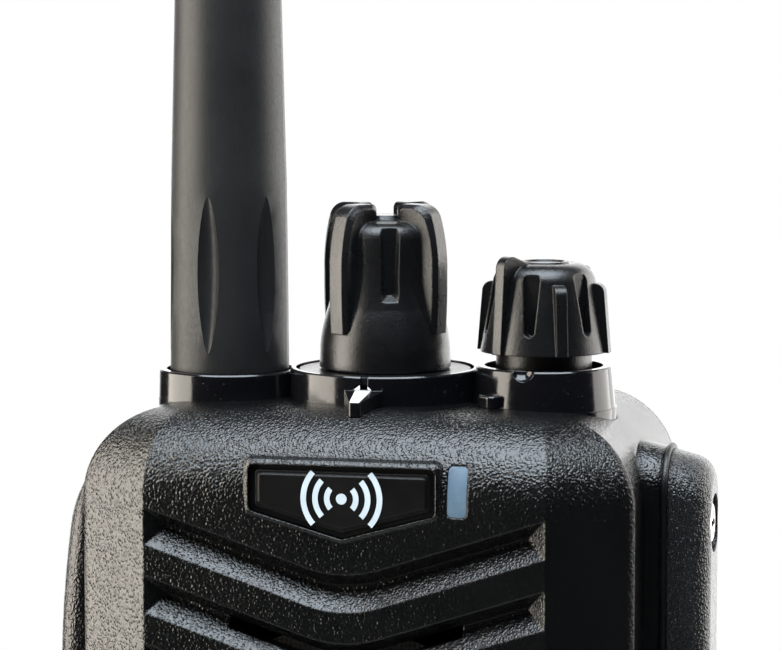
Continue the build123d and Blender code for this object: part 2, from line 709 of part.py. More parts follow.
def switch_body(x, size, depth):
    """Switch body under the top wall with its bushing up through the collar."""
    with BuildSketch(Plane.XY.offset(CEILING_Z - FIT - depth)) as outline:
        with Locations((x, 0)):
            RectangleRounded(size, size, 0.8)
    extrude(outline.sketch, amount=depth)
    disc(x, CEILING_Z - 1, RIM_Z - 0.4 - CEILING_Z, BUSHING_R)
    disc(x, CEILING_Z - depth + 1, 20, SHAFT_R + 0.05, Mode.SUBTRACT)


with BuildPart() as channel_switch:
    switch_body(0, 12.4, 8.5)
with BuildPart() as channel_nut:
    hexagon_nut(0, 10.0, 1.5)
with BuildPart() as volume_control:
    switch_body(SPACING, 10.6, 7.0)
with BuildPart() as volume_nut:
    hexagon_nut(SPACING, 9.0, 1.3)
save(channel_switch, "channel_switch")
save(channel_nut, "channel_nut")
save(volume_control, "volume_control")
save(volume_nut, "volume_nut")

with BuildPart() as shaft_seals:
    for x in (0, SPACING):
        with BuildSketch(Plane(origin=(x, 0, PLATE_BOTTOM - 0.45), x_dir=(1, 0, 0), z_dir=(0, -1, 0))):
            with Locations((BUSHING_R + 0.6, 0)):
                Circle(0.42)
        revolve(axis=Axis((x, 0, 0), (0, 0, 1)))
save(shaft_seals, "shaft_seals")

with BuildPart() as antenna_socket:
    disc(-SPACING, CEILING_Z - 6, 6 - FIT, SOCKET_R + 1.2)
    disc(-SPACING, CEILING_Z - 1, PLATE_FLOOR + 1.0 - CEILING_Z + 1, SOCKET_R)
    disc(-SPACING, CEILING_Z - 5.6, 20, PLUG_R + 0.08, Mode.SUBTRACT)
save(antenna_socket, "antenna_socket")

# ---------------------------------------------------------------- antenna
ANTENNA_AXIS = Axis((-SPACING, 0, 0), (0, 0, 1))
with BuildPart() as antenna_sleeve:
    with BuildSketch(Plane(origin=(-SPACING, 0, 0), x_dir=(1, 0, 0), z_dir=(0, -1, 0))):
        with BuildLine():
            Polyline(
                (ANTENNA_BORE, ANTENNA_Z), (5.5, ANTENNA_Z), (5.72, ANTENNA_Z + 0.3), (5.55, RIM_Z + 17),
                (5.1, RIM_Z + 34.7), (3.3, ANTENNA_TIP - 3.3),
            )
            RadiusArc((3.3, ANTENNA_TIP - 3.3), (0, ANTENNA_TIP), -3.3)
            Polyline(
                (0, ANTENNA_TIP), (0, ANTENNA_TIP - 5), (1.2, ANTENNA_TIP - 5), (1.2, COIL_TOP + 1),
                (ANTENNA_BORE, COIL_TOP + 1), (ANTENNA_BORE, ANTENNA_Z),
            )
        make_face()
    revolve(axis=ANTENNA_AXIS)
    for i in range(6):
        with BuildSketch(turned(SCALLOP_TURN + 60 * i, -SPACING)):
            with BuildLine():
                ThreePointArc(
                    (FLUTE_AXIS, FLUTE_Z - FLUTE_HALF),
                    (FLUTE_AXIS + FLUTE_R, FLUTE_Z),
                    (FLUTE_AXIS, FLUTE_Z + FLUTE_HALF),
                )
                Line((FLUTE_AXIS, FLUTE_Z + FLUTE_HALF), (FLUTE_AXIS, FLUTE_Z - FLUTE_HALF))
            make_face()
        a = radians(SCALLOP_TURN + 60 * i)
        axis_spot = (-SPACING + FLUTE_AXIS * sin(a), -FLUTE_AXIS * cos(a), 0)
        revolve(axis=Axis(axis_spot, (0, 0, 1)), mode=Mode.SUBTRACT)
save(antenna_sleeve, "antenna_sleeve")

with BuildPart() as antenna_plug:
    disc(-SPACING, CEILING_Z - 5, ANTENNA_Z - 0.05 - CEILING_Z + 5, PLUG_R)
    disc(-SPACING, ANTENNA_Z - 1.0, 0.95, 4.6)
    disc(-SPACING, ANTENNA_Z - 0.1, 5, ANTENNA_BORE - FIT)
with BuildPart() as antenna_whip:
    disc(-SPACING, ANTENNA_Z + 4.95, ANTENNA_TIP - 11 - ANTENNA_Z, 0.9)
with BuildPart() as antenna_coil:
    with BuildLine():
        Helix(pitch=3.2, height=COIL_TOP - ANTENNA_Z - 7, radius=1.9, center=(-SPACING, 0, ANTENNA_Z + 6))
    with BuildSketch(Plane(origin=(-SPACING + 1.9, 0, ANTENNA_Z + 6), z_dir=(0, 1, 0.27))):
        Circle(0.4)
    sweep()
save(antenna_plug, "antenna_plug")
save(antenna_whip, "antenna_whip")
save(antenna_coil, "antenna_coil")

# ---------------------------------------------------------------- channel knob
def wing_lines(inset=0.0):
    """Lines of a wing seen from its side, optionally set in from its bowed outer edge and its top."""
    out, top, low = -inset, RIM_Z + 15.6 - inset, RIM_Z + 3.5 + inset
    root = RIM_Z + 13.4
    Polyline((1.9 - out, top - 0.6), (1.9 - out, root), (3, root), (3, low), (6.35 + out, low))
    ThreePointArc((6.35 + out, low), (6.48 + out, RIM_Z + 6.2), (6.5 + out, RIM_Z + 9))
    ThreePointArc((6.5 + out, RIM_Z + 9), (6.33 + out, RIM_Z + 12), (5.75 + out, top - 1.1))
    ThreePointArc((5.75 + out, top - 1.1), (5.15 + out, top - 0.35), (4.0 + out, top))
    Line((4.0 + out, top), (2.5 - out, top))
    ThreePointArc((2.5 - out, top), (2.07 - out, top - 0.18), (1.9 - out, top - 0.6))


with BuildPart() as wing:
    for side in (-1, 1):
        with BuildSketch(turned(0).offset(side * (WING_THICK / 2 - WING_EDGE))):
            with BuildLine():
                wing_lines()
            make_face()
        with BuildSketch(turned(0).offset(side * WING_THICK / 2)):
            with BuildLine():
                wing_lines(WING_EDGE)
            make_face()
        loft()
    with BuildSketch(turned(0)):
        with BuildLine():
            wing_lines()
        make_face()
    extrude(amount=WING_THICK / 2 - WING_EDGE, both=True)

with BuildPart() as channel_knob:
    with BuildSketch(turned(KNOB_TURN)):
        with BuildLine():
            Polyline((0, KNOB_Z), (6.1, KNOB_Z), (6.25, KNOB_Z + 0.2), (6.2, RIM_Z + 2))
            ThreePointArc((6.2, RIM_Z + 2), (5.93, RIM_Z + 3.9), (5.4, RIM_Z + 5.8))
            ThreePointArc((5.4, RIM_Z + 5.8), (5.02, RIM_Z + 7.7), (4.9, RIM_Z + 9.8))
            Line((4.9, RIM_Z + 9.8), (4.85, RIM_Z + 12.5))
            ThreePointArc((4.85, RIM_Z + 12.5), (4.38, RIM_Z + 13.45), (3.2, RIM_Z + 13.95))
            Polyline(
                (3.2, RIM_Z + 13.95), (2.0, RIM_Z + 14.1), (1.8, RIM_Z + 14.5), (0, RIM_Z + 14.5), (0, KNOB_Z)
            )
        make_face()
    revolve(axis=Axis.Z)
    for angle in (WING_ANGLE, 180 - WING_ANGLE, 180 + WING_ANGLE, -WING_ANGLE):
        add(wing.part, rotation=(0, 0, KNOB_TURN + angle))
    # finger groove with sloping sides that fades out of the rounded top and ends on a sloping ledge
    for distance, grow in ((4.3, 0.0), (5.3, 0.65)):
        with BuildSketch(facing(KNOB_TURN, distance)):
            Polygon(
                (-0.85 - grow, RIM_Z + 16),
                (0.85 + grow, RIM_Z + 16),
                (0.42 + grow, RIM_Z + 7.4 - 0.4 * grow),
                (0.2 + grow, RIM_Z + 7.15 - grow), (-0.2 - grow, RIM_Z + 7.15 - grow),
                (-0.42 - grow, RIM_Z + 7.4 - 0.4 * grow), align=None,
            )
    loft(ruled=True, mode=Mode.SUBTRACT)
    # hollow under the bell for the nut, and the bore of the shaft
    disc(0, KNOB_Z - 1, 3.0, 5.4, Mode.SUBTRACT)
    disc(0, KNOB_Z, SHAFT_TOP - KNOB_Z + FIT, SHAFT_R + 0.02, Mode.SUBTRACT)
save(channel_knob, "channel_knob")

with BuildPart() as channel_number_ring:
    disc(0, KNOB_Z - 0.85, 0.8, 8.15)
    disc(0, KNOB_Z - 2, 4, 5.9, Mode.SUBTRACT)
save(channel_number_ring, "channel_number_ring")

with BuildPart() as channel_shaft:
    disc(0, CEILING_Z - 7, SHAFT_TOP - CEILING_Z + 7, SHAFT_R)
save(channel_shaft, "channel_shaft")

# ---------------------------------------------------------------- volume knob
with BuildPart() as volume_knob:
    with BuildSketch(turned(0, SPACING)):
        with BuildLine():
            brow, flat = (CAP_TOP_R + 0.1, RIM_Z + 8.4), (CAP_TOP_R - 1.7, RIM_Z + 10.2)
            Polyline((0, VOLUME_Z), (NECK_R, VOLUME_Z), (NECK_R, CAP_Z), (6.0, CAP_Z), brow)
            ThreePointArc(brow, (CAP_TOP_R - 0.45, RIM_Z + 9.6), flat)
            Polyline(flat, (0, RIM_Z + 10.2), (0, VOLUME_Z))
        make_face()
    revolve(axis=Axis((SPACING, 0, 0), (0, 0, 1)))
    for i in range(6):
        rib_turn = POINTER_TURN + 60 * i
        with BuildSketch(turned(rib_turn, SPACING)):
            with BuildLine():
                if i:
                    # short rib with a round head on the cone
                    top = RIM_Z + (9.7 if i == 3 else 8.4)
                    Polyline((3.6, CAP_Z), (6.36, CAP_Z), (5.9, top - 0.9))
                    ThreePointArc((5.9, top - 0.9), (5.6, top - 0.25), (4.8, top))
                    Polyline((4.8, top), (3.6, top), (3.6, CAP_Z))
                else:
                    # pointer rib that stands above the cap and slopes down inwards
                    Polyline((3.0, CAP_Z), (6.36, CAP_Z), (5.9, RIM_Z + 9.7))
                    ThreePointArc((5.9, RIM_Z + 9.7), (5.45, RIM_Z + 10.75), (4.6, RIM_Z + 11.0))
                    Polyline((4.6, RIM_Z + 11.0), (2.2, RIM_Z + 10.1), (2.2, RIM_Z + 9), (3.0, CAP_Z))
            make_face()
        extrude(amount=RIB_THICK / 2, both=True)
        # recess between two ribs
        with BuildSketch(facing(rib_turn + 30, 4.45, SPACING)):
            with BuildLine():
                ThreePointArc((-0.8, RIM_Z + 8.9), (0, RIM_Z + 9.6), (0.8, RIM_Z + 8.9))
                Line((0.8, RIM_Z + 8.9), (0.5, RIM_Z + 4.1))
                ThreePointArc((0.5, RIM_Z + 4.1), (0, RIM_Z + 3.65), (-0.5, RIM_Z + 4.1))
                Line((-0.5, RIM_Z + 4.1), (-0.8, RIM_Z + 8.9))
            make_face()
        extrude(amount=2, mode=Mode.SUBTRACT)
    # plain ring on the flat top
    with BuildSketch(Plane.XY.offset(RIM_Z + 10.2)):
        with Locations((SPACING, 0)):
            Circle(2.3)
            Circle(1.9, mode=Mode.SUBTRACT)
    extrude(amount=0.15)
    disc(SPACING, VOLUME_Z - 1, VOLUME_TOP - VOLUME_Z + 1 + FIT, SHAFT_R + 0.02, Mode.SUBTRACT)
save(volume_knob, "volume_knob")

with BuildPart() as volume_shaft:
    disc(SPACING, CEILING_Z - 5.5, VOLUME_TOP - CEILING_Z + 5.5, SHAFT_R)
save(volume_shaft, "volume_shaft")

# ---------------------------------------------------------------- keys on the left side
def key_stem(z):
    """Stem behind a side key, through the housing wall to its switch."""
    with BuildSketch(plane_x(-HALF_WIDTH + WALL)) as stem:
        with Locations((KEY_Y, z)):
            Rectangle(*PLUNGER)
    extrude(stem.sketch, amount=-3.2)


with BuildPart() as side_key_frame:
    with BuildSketch(plane_y(CHEEK_FRONT_Y)):
        with BuildLine():
            flank = Line((CHEEK_X, 44), (CHEEK_X, 89))
            upper = TangentArc(flank @ 1, (-28.0, 104.6), tangent=(0, 1))
            TangentArc(upper @ 1, (-23.6, 112.2), tangent=upper % 1)
            lower = TangentArc(flank @ 0, (-27.9, 34), tangent=(0, -1))
            TangentArc(lower @ 1, (-23.6, 24.5), tangent=lower % 1)
            Line((-23.6, 24.5), (-23.6, 112.2))
        make_face()
    extrude(amount=-(CHEEK_BACK_Y - CHEEK_FRONT_Y))
    outer = side_key_frame.faces().filter_by(lambda f: f.center().X < -HALF_WIDTH).edges()
    fillet(outer.filter_by(lambda e: abs(e.center().Y - CHEEK_FRONT_Y) < 0.1), radius=CHEEK_ROUND)
    # flat inner side against the housing wall
    with BuildSketch(plane_x(-HALF_WIDTH - FIT)):
        with Locations((0, RIM_Z / 2)):
            Rectangle(60, 2 * RIM_Z)
    extrude(amount=10, mode=Mode.SUBTRACT)
    for z, height, edge in ((PTT_Z, PTT_HEIGHT, 2.2), *((z, KEY_HEIGHT, 1.6) for z in KEY_ZS)):
        with BuildSketch(plane_x(-40)):
            with Locations((KEY_Y, z)):
                RectangleRounded(KEY_WIDTH + 2 * GAP, height + 2 * GAP, edge + GAP)
        extrude(amount=20, mode=Mode.SUBTRACT)
save(side_key_frame, "side_key_frame")

with BuildPart() as ptt_button:
    with BuildSketch(plane_x(-27.1)):
        with Locations((KEY_Y, PTT_Z)):
            RectangleRounded(KEY_WIDTH, PTT_HEIGHT, 2.2)
    extrude(amount=-3.1)
    fillet(ptt_button.faces().sort_by(Axis.X)[0].edges(), radius=1.0)
    for i in range(7):
        with BuildSketch(plane_x(-30.2)):
            with Locations((KEY_Y, PTT_Z + 3.0 * (i - 3))):
                SlotOverall(5.6, 1.0)
        extrude(amount=-0.35, taper=20)
    key_stem(PTT_Z)
save(ptt_button, "ptt_button")

for z, name in zip(KEY_ZS, ("upper_side_key", "lower_side_key")):
    with BuildPart() as side_key:
        with BuildSketch(plane_x(-27.1)):
            with Locations((KEY_Y, z)):
                RectangleRounded(KEY_WIDTH, KEY_HEIGHT, 1.6)
        extrude(amount=-2.3)
        fillet(side_key.faces().sort_by(Axis.X)[0].edges(), radius=0.7)
        with BuildSketch(plane_x(-29.4)):
            with Locations((KEY_Y, z)):
                Circle(1.1)
                Circle(0.7, mode=Mode.SUBTRACT)
        extrude(amount=-0.2)
        key_stem(z)
    save(side_key, name)

with BuildPart() as key_switches:
    with BuildSketch(plane_x(-20.6)):
        with Locations((KEY_Y, 63.5)):
            Rectangle(6, 44)
    extrude(amount=0.8)
    for z in (PTT_Z, *KEY_ZS):
        with BuildSketch(plane_x(-20.65)):
            with Locations((KEY_Y, z)):
                RectangleRounded(5, 5, 0.5)
        extrude(amount=-1.4)
        with BuildSketch(plane_x(-22.0)):
            with Locations((KEY_Y, z)):
                Circle(1.5)
        extrude(amount=-0.7)
save(key_switches, "key_switches")

# ---------------------------------------------------------------- accessory connector and its cover
with BuildPart() as accessory_jacks:
    for z, r in JACKS:
        with BuildSketch(plane_x(BOSS_X - 0.1)):
            with Locations((COVER_MID_Y, z)):
                Circle(JACK_R)
        extrude(amount=-13)
        with BuildSketch(plane_x(BOSS_X)):
            with Locations((COVER_MID_Y, z)):
                Circle(r)
        extrude(amount=-11.5, mode=Mode.SUBTRACT)
save(accessory_jacks, "accessory_jacks")

with BuildPart() as cover_insert:
    with BuildSketch(plane_x(BOSS_X - 0.1)):
        with Locations((COVER_MID_Y, SCREW_Z)):
            Circle(INSERT_R)
            Circle(COVER_SCREW_R + 0.3, mode=Mode.SUBTRACT)
    extrude(amount=-4.0)
save(cover_insert, "cover_insert")

with BuildPart() as cover_gasket:
    with BuildSketch(plane_x(BOSS_X + FIT)):
        with BuildLine():
            cover_lines(HINGE_Z + 2.2, -0.32)
        make_face()
        with BuildLine():
            cover_lines(HINGE_Z + 3.6, 1.2)
        make_face(mode=Mode.SUBTRACT)
    extrude(amount=COVER_X - BOSS_X - 2 * FIT)
    edges = cover_gasket.edges().filter_by(lambda e: e.length > 3)
    fillet(
        edges.filter_by(lambda e: e.center().Y < COVER_FRONT_Y or e.center().Z > COVER_TOP_Z - 0.6),
        radius=0.24,
    )
save(cover_gasket, "cover_gasket")

with BuildPart() as cover_pin:
    with BuildSketch(plane_y(COVER_FRONT_Y + 0.4)):
        with Locations((HINGE_X, HINGE_Z)):
            Circle(PIN_R - 0.02)
    extrude(amount=-(COVER_BACK_Y - COVER_FRONT_Y - 0.8))
save(cover_pin, "cover_pin")

with BuildPart() as accessory_cover:
    for x in (COVER_X, COVER_FACE_X):
        with BuildSketch(plane_x(x)):
            with BuildLine():
                cover_lines(HINGE_Z, 0, x)
            make_face()
    loft(ruled=True)
    rim = accessory_cover.faces().sort_by(Axis.X)[-1].edges()
    fillet(rim.filter_by(lambda e: e.center().Z > HINGE_Z + 1), radius=COVER_EDGE)
    with BuildSketch(plane_y(COVER_FRONT_Y)):
        with Locations((HINGE_X, HINGE_Z)):
            Circle(HINGE_X - COVER_X)
        with Locations((HINGE_X + 1.2, HINGE_Z + 0.6)):
            Rectangle(2.4, 2.4)
    extrude(amount=-(COVER_BACK_Y - COVER_FRONT_Y))
    # room for the two lugs, the pin and the screw
    for y in LUG_YS:
        with BuildSketch(plane_y(y - LUG_WIDTH / 2 - GAP)):
            with Locations((HINGE_X, HINGE_Z)):
                Circle(1.5)
                Rectangle(3, 3)
        extrude(amount=-LUG_WIDTH - 2 * GAP, mode=Mode.SUBTRACT)
    with BuildSketch(plane_y(COVER_FRONT_Y - 1)):
        with Locations((HINGE_X, HINGE_Z)):
            Circle(PIN_R + 0.03)
    extrude(amount=-20, mode=Mode.SUBTRACT)
    with BuildSketch(plane_x(COVER_X - 1)):
        with Locations((COVER_MID_Y, SCREW_Z)):
            Circle(COVER_SCREW_R + 0.1)
    extrude(amount=9, mode=Mode.SUBTRACT)
    with BuildSketch(plane_x(COVER_FACE_X + 1)):
        with Locations((COVER_MID_Y, SCREW_Z)):
            Circle(2.75)
    extrude(amount=-2.4, mode=Mode.SUBTRACT)
save(accessory_cover, "accessory_cover")

with BuildPart() as cover_screw:
    with BuildSketch(plane_x(COVER_FACE_X - 1.35)):
        with Locations((COVER_MID_Y, SCREW_Z)):
            Circle(2.0)
    extrude(amount=1.2)
    fillet(cover_screw.faces().sort_by(Axis.X)[-1].edges(), radius=0.5)
    with BuildSketch(plane_x(COVER_FACE_X)):
        with Locations((COVER_MID_Y, SCREW_Z)):
            Rectangle(2.3, 0.5)
            Rectangle(0.5, 2.3)
    extrude(amount=-0.9, mode=Mode.SUBTRACT)
    with BuildSketch(plane_x(COVER_FACE_X - 1.3)):
        with Locations((COVER_MID_Y, SCREW_Z)):
            Circle(COVER_SCREW_R)
    extrude(amount=-5.2)
save(cover_screw, "cover_screw")


# ---------------------------------------------------------------- battery pack
def pack_outline(inset, bottom, top):
    """Rounded outline of the pack from behind, on the plane of the sketch being made."""
    with Locations((0, (bottom + top) / 2)):
        RectangleRounded(2 * (PACK_HALF - inset), top - bottom, 2.0 if inset else 2.6)


with BuildPart() as pack_inner_case:
    with BuildSketch(plane_y(PACK_FRONT_Y)):
        pack_outline(0, 0, PACK_TOP)
    extrude(amount=-(PACK_SPLIT_Y - PACK_FRONT_Y))
    with BuildSketch(plane_y(PACK_FRONT_Y + PACK_WALL)):
        pack_outline(PACK_WALL, PACK_INSIDE[0], PACK_INSIDE[1])
    extrude(amount=-10, mode=Mode.SUBTRACT)
    # notch for the tongue of the latch and for its teeth
    sweep_centre, sweep_width = LATCH_TRAVEL / 2, 2 * TONGUE_HALF + LATCH_TRAVEL + 2 * GAP
    with BuildSketch(Plane.XY):
        with Locations((sweep_centre, (PACK_FRONT_Y + TOOTH_Y + TOOTH + GAP) / 2)):
            Rectangle(sweep_width, TOOTH_Y + TOOTH + GAP - PACK_FRONT_Y + 0.1)
    extrude(amount=TOOTH_Z + GAP, mode=Mode.SUBTRACT)
    # windows of the contacts
    for x in PACK_CONTACTS:
        with BuildSketch(plane_y(PACK_FRONT_Y - 1)):
            with Locations((x, CONTACT_Z)):
                Rectangle(3.2, 5.2)
        extrude(amount=-5, mode=Mode.SUBTRACT)
save(pack_inner_case, "pack_inner_case")

with BuildPart() as pack_outer_case:
    with BuildSketch(plane_y(PACK_SPLIT_Y + FIT)):
        pack_outline(0, 0, PACK_TOP)
    extrude(amount=-(BACK_Y - PACK_SPLIT_Y - FIT))
    fillet(pack_outer_case.faces().sort_by(Axis.Y)[-1].edges(), radius=1.8)
    with BuildSketch(plane_y(PACK_SPLIT_Y)):
        pack_outline(PACK_WALL, PACK_INSIDE[0], PACK_INSIDE[1])
    extrude(amount=-(BACK_Y - PACK_WALL - PACK_SPLIT_Y), mode=Mode.SUBTRACT)
    for z in CLIP_SCREW_ZS:
        with BuildSketch(plane_y(BACK_Y - PACK_WALL)):
            with Locations((0, z)):
                Circle(2.6)
        extrude(amount=2.4)
        with BuildSketch(plane_y(BACK_Y + 1)):
            with Locations((0, z)):
                Circle(SCREW_R + FIT)
        extrude(amount=4.4, mode=Mode.SUBTRACT)
    for x in (-CHARGE_X, CHARGE_X):
        with BuildSketch(plane_y(BACK_Y + 1)):
            with Locations((x, CHARGE_Z)):
                Circle(CHARGE_R)
        extrude(amount=1.8, mode=Mode.SUBTRACT)
    # finger ribs near the foot
    for i in range(5):
        with BuildSketch(plane_y(BACK_Y - 0.01)):
            with Locations((0, 22 + 2.2 * i)):
                SlotOverall(30 - 2 * i, 1.0)
        extrude(amount=0.5, mode=Mode.SUBTRACT)
save(pack_outer_case, "pack_outer_case")

with BuildPart() as battery_cells:
    for x in (-12.0, 12.0):
        with BuildSketch(plane_y(CELL_Y)):
            with Locations((x, 37)):
                RectangleRounded(23, 62, 1)
        extrude(amount=-CELL)
save(battery_cells, "battery_cells")

with BuildPart() as cell_strips:
    for x in (-16.0, -8.0, 8.0, 16.0):
        with BuildSketch(plane_x(x - 2)):
            with BuildLine():
                y0 = CELL_Y + CELL / 2
                Polyline(
                    (y0 - 2, 68.05), (y0 + 2, 68.05), (y0 + 2, 68.2), (y0 - 1.85, 68.2), (y0 - 1.85, 73.9)
                )
                Polyline((y0 - 1.85, 73.9), (y0 - 2, 73.9), (y0 - 2, 68.05))
            make_face()
        extrude(amount=4)
save(cell_strips, "cell_strips")

with BuildPart() as battery_board:
    with BuildSketch(plane_y(PACK_BOARD_Y)):
        with Locations((0, 83)):
            RectangleRounded(46, 18, 1)
    extrude(amount=-1.0)
    for x, w in ((-14, 5), (14, 7)):
        with BuildSketch(plane_y(PACK_BOARD_Y + 1)):
            with Locations((x, 81)):
                Rectangle(w, 4)
        extrude(amount=-1.0)
save(battery_board, "battery_board")

with BuildPart() as pack_contacts:
    for x in PACK_CONTACTS:
        with BuildSketch(plane_y(PACK_FRONT_Y + 0.15)):
            with Locations((x, CONTACT_Z)):
                RectangleRounded(3.0, 5.0, 0.4)
        extrude(amount=-(PACK_BOARD_Y - PACK_FRONT_Y - 0.2))
save(pack_contacts, "pack_contacts")

with BuildPart() as charging_contacts:
    for x in (-CHARGE_X, CHARGE_X):
        with BuildSketch(plane_y(BACK_Y - 0.2)):
            with Locations((x, CHARGE_Z)):
                Circle(CHARGE_R - FIT)
        extrude(amount=0.55)
save(charging_contacts, "charging_contacts")

# ---------------------------------------------------------------- battery latch in the base
with BuildPart() as battery_latch:
    plate_z = LATCH_LIP_Z + GAP
    for z, top, front in ((plate_z, TONGUE_Z, LATCH_FRONT_Y), (0.3, plate_z, LATCH_FRONT_Y + 1.7)):
        with BuildSketch(Plane.XY.offset(z)):
            with Locations((0, (front + STEP_Y - 0.4) / 2)):
                Rectangle(2 * LATCH_HALF, STEP_Y - 0.4 - front)
        extrude(amount=top - z)
    for i in range(7):
        with BuildSketch(Plane.XY.offset(0.3)):
            with Locations((1.8 * (i - 3), -3)):
                Rectangle(0.8, 7)
        extrude(amount=0.35, mode=Mode.SUBTRACT)
    with BuildSketch(Plane.XY.offset(plate_z)):
        with Locations((0, (STEP_Y - 1 + TOOTH_Y + TOOTH) / 2)):
            Rectangle(2 * TONGUE_HALF, TOOTH_Y + TOOTH - STEP_Y + 1)
    extrude(amount=TONGUE_Z - plate_z)
    for x in TOOTH_XS:
        with BuildSketch(plane_x(x - TOOTH_WIDTH / 2)):
            Polygon(
                (TOOTH_Y, TONGUE_Z - 0.2),
                (TOOTH_Y + TOOTH, TONGUE_Z - 0.2),
                (TOOTH_Y + TOOTH, TOOTH_Z - 0.6),
                (TOOTH_Y, TOOTH_Z), align=None,
            )
        extrude(amount=TOOTH_WIDTH)
save(battery_latch, "battery_latch")

# ---------------------------------------------------------------- belt clip on the battery pack
with BuildPart() as clip_bracket:
    with BuildSketch(plane_y(BACK_Y + FIT)):
        with Locations((0, CLIP_PIN_Z)):
            RectangleRounded(16, 22, 1.5)
    extrude(amount=-1.2)
    for x in EAR_XS:
        with BuildSketch(plane_x(x - 0.8)):
            with BuildLine():
                Polyline(
                    (CLIP_PIN_Y, CLIP_PIN_Z + 2), (BACK_Y + 1, CLIP_PIN_Z + 5), (BACK_Y + 1, CLIP_PIN_Z - 5)
                )
                Line((BACK_Y + 1, CLIP_PIN_Z - 5), (CLIP_PIN_Y, CLIP_PIN_Z - 2))
                RadiusArc((CLIP_PIN_Y, CLIP_PIN_Z - 2), (CLIP_PIN_Y, CLIP_PIN_Z + 2), 2)
            make_face()
        extrude(amount=1.6)
    with BuildSketch(plane_x(-20)):
        with Locations((CLIP_PIN_Y, CLIP_PIN_Z)):
            Circle(CLIP_PIN_R + 0.03)
    extrude(amount=40, mode=Mode.SUBTRACT)
    for z in CLIP_SCREW_ZS:
        with BuildSketch(plane_y(BACK_Y)):
            with Locations((0, z)):
                Circle(SCREW_R + 0.1)
        extrude(amount=-3, mode=Mode.SUBTRACT)
save(clip_bracket, "clip_bracket")

with BuildPart() as clip_screws:
    for z in CLIP_SCREW_ZS:
        with BuildSketch(plane_y(BACK_Y + FIT + 1.25)):
            with Locations((0, z)):
                Circle(1.9)
        extrude(amount=-0.9)
        with BuildSketch(plane_y(BACK_Y + FIT + 1.3)):
            with Locations((0, z)):
                Circle(SCREW_R)
        extrude(amount=4.3)
save(clip_screws, "clip_screws")

with BuildPart() as clip_pin:
    with BuildSketch(plane_x(-CLIP_HALF + 0.4)):
        with Locations((CLIP_PIN_Y, CLIP_PIN_Z)):
            Circle(CLIP_PIN_R)
    extrude(amount=2 * CLIP_HALF - 0.8)
save(clip_pin, "clip_pin")

with BuildPart() as clip_lever:
    with BuildSketch(Plane.YZ):
        with BuildLine():
            FilletPolyline(
                (CLIP_FACE_Y, CLIP_PIN_Z + 13),
                (CLIP_FACE_Y, CLIP_PIN_Z - 6),
                (CLIP_FACE_Y - 1.2, CLIP_PIN_Z - 40),
                (BACK_Y + 0.5, CLIP_PIN_Z - 48), (BACK_Y + 1.9, CLIP_PIN_Z - 54.5), radius=(9, 9, 2.5),
            )
            FilletPolyline(
                (BACK_Y + 1.9, CLIP_PIN_Z - 54.5), (BACK_Y + 3.3, CLIP_PIN_Z - 54.1),
                (BACK_Y + 2.0, CLIP_PIN_Z - 48), (CLIP_FACE_Y + 0.3, CLIP_PIN_Z - 40),
                (CLIP_FACE_Y + 1.5, CLIP_PIN_Z - 6),
                (CLIP_FACE_Y + 1.5, CLIP_PIN_Z + 13),
                radius=(0.2, 2, 8, 8),
            )
            Line((CLIP_FACE_Y + 1.5, CLIP_PIN_Z + 13), (CLIP_FACE_Y, CLIP_PIN_Z + 13))
        make_face()
    extrude(amount=CLIP_HALF, both=True)
    for x in (-CLIP_HALF + 0.8, CLIP_HALF - 0.8):
        with BuildSketch(plane_x(x - 0.8)):
            with Locations((CLIP_PIN_Y, CLIP_PIN_Z)):
                Circle(2.0)
            with Locations(((CLIP_PIN_Y + CLIP_FACE_Y + 1) / 2, CLIP_PIN_Z)):
                Rectangle(CLIP_FACE_Y + 1 - CLIP_PIN_Y, 4)
        extrude(amount=1.6)
        with BuildSketch(plane_x(x - 2)):
            with Locations((CLIP_PIN_Y, CLIP_PIN_Z)):
                Circle(CLIP_PIN_R + 0.03)
        extrude(amount=4, mode=Mode.SUBTRACT)
save(clip_lever, "clip_lever")

with BuildPart() as clip_spring:
    with BuildLine():
        coil = Helix(
            pitch=0.9, height=2 * SPRING_HALF, radius=SPRING_R, center=(-SPRING_HALF, CLIP_PIN_Y, CLIP_PIN_Z),
            direction=(1, 0, 0),
        )
        # one leg presses on the lever, the other lies on the bracket
        lever_leg = Line((coil @ 0) - (coil % 0) * 1.7, coil @ 0)
        Line(coil @ 1, (coil @ 1) + (coil % 1) * 3.0)
    with BuildSketch(Plane(origin=lever_leg @ 0, z_dir=lever_leg % 0)):
        Circle(0.3)
    sweep()
save(clip_spring, "clip_spring")
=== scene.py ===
"""The portable radio around its CAD frame: materials, badge sign, index paint, lights and camera."""

import json
from math import cos, degrees, pi, radians, sin

